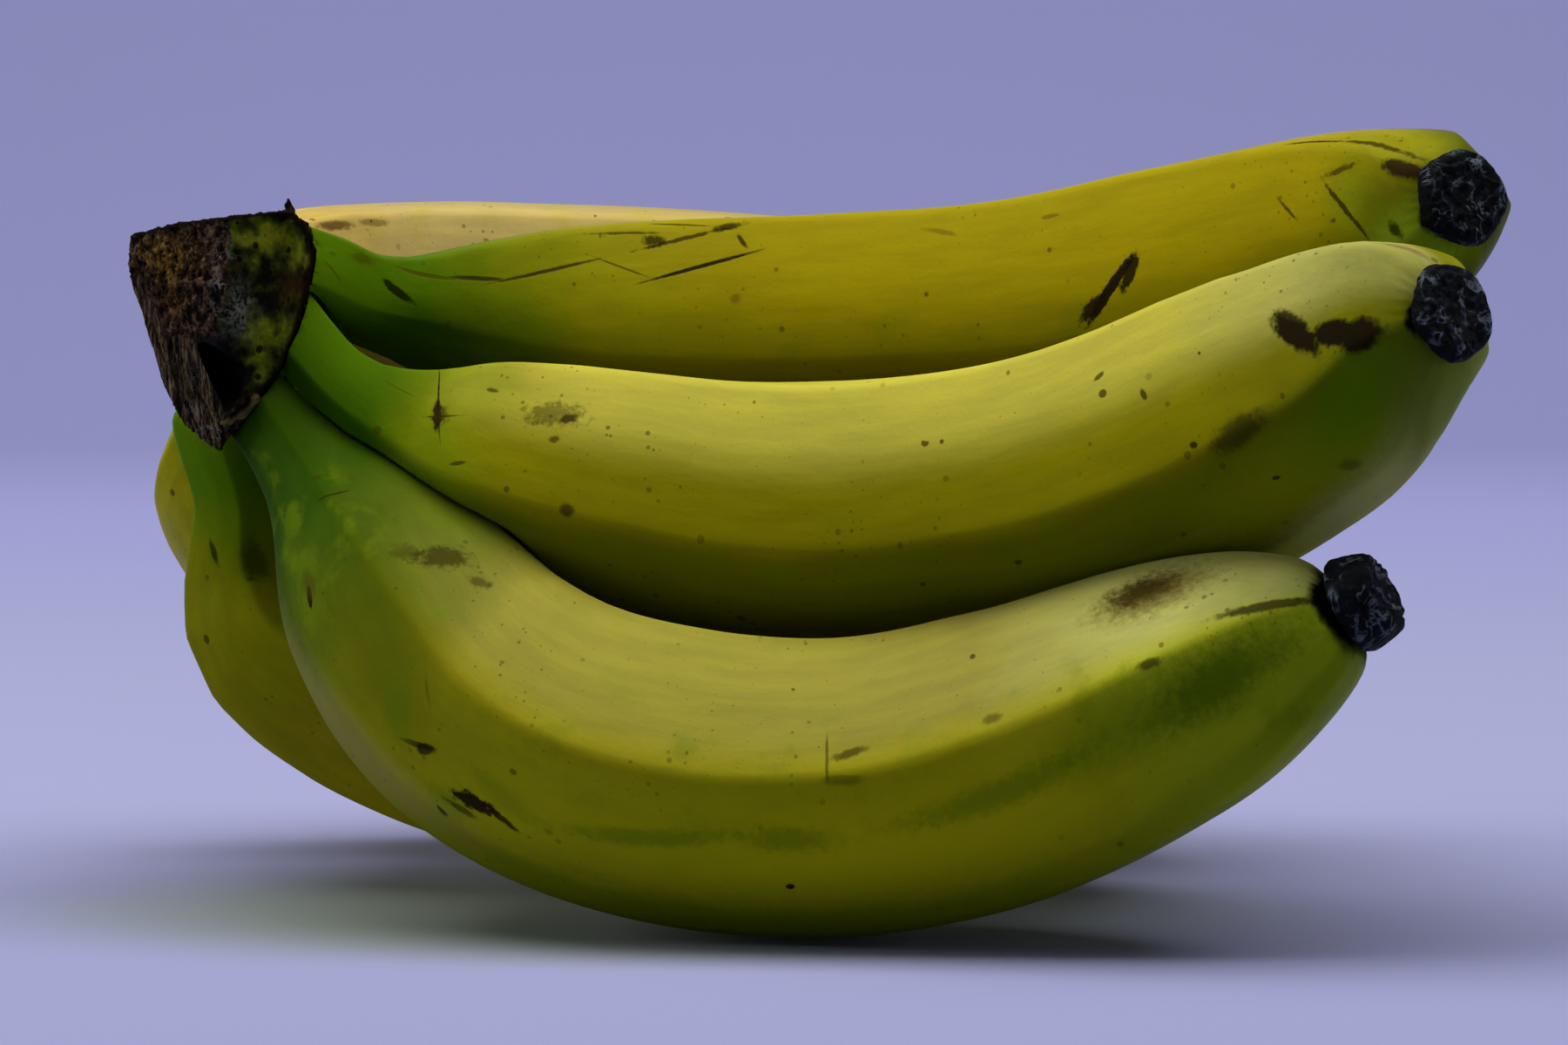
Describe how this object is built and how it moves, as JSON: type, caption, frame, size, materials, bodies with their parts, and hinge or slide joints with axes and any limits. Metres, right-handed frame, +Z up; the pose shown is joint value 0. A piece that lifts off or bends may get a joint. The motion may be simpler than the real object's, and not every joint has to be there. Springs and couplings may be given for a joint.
{
  "type": "hand of bananas",
  "caption": "Hand of bananas: ridged, curved fruits joined by their necks to one cut crown, each ending in a dried blossom end, lying on their outer curves",
  "frame": {"origin": "under the middle of the hand's bounding box, on the surface that it lies on", "axes": "+X from the crown to the tips, +Y to the back of the hand, +Z up"},
  "size_m": [0.1796, 0.128, 0.1011],
  "materials": {
    "peel": "waxy satin skin, green at the neck and yellow along the body",
    "crown": "dry, dark, fibrous cut surface",
    "blossom_end": "black, dry and crinkled"
  },
  "bodies": {
    "root": {"crown": "crown", "banana_front_lower": "peel", "blossom_end_front_lower": "blossom_end", "banana_front_middle": "peel", "blossom_end_front_middle": "blossom_end", "banana_front_upper": "peel", "blossom_end_front_upper": "blossom_end", "banana_back_lower": "peel", "blossom_end_back_lower": "blossom_end", "banana_back_middle": "peel", "blossom_end_back_middle": "blossom_end", "banana_back_upper": "peel", "blossom_end_back_upper": "blossom_end"}
  },
  "joints": []
}
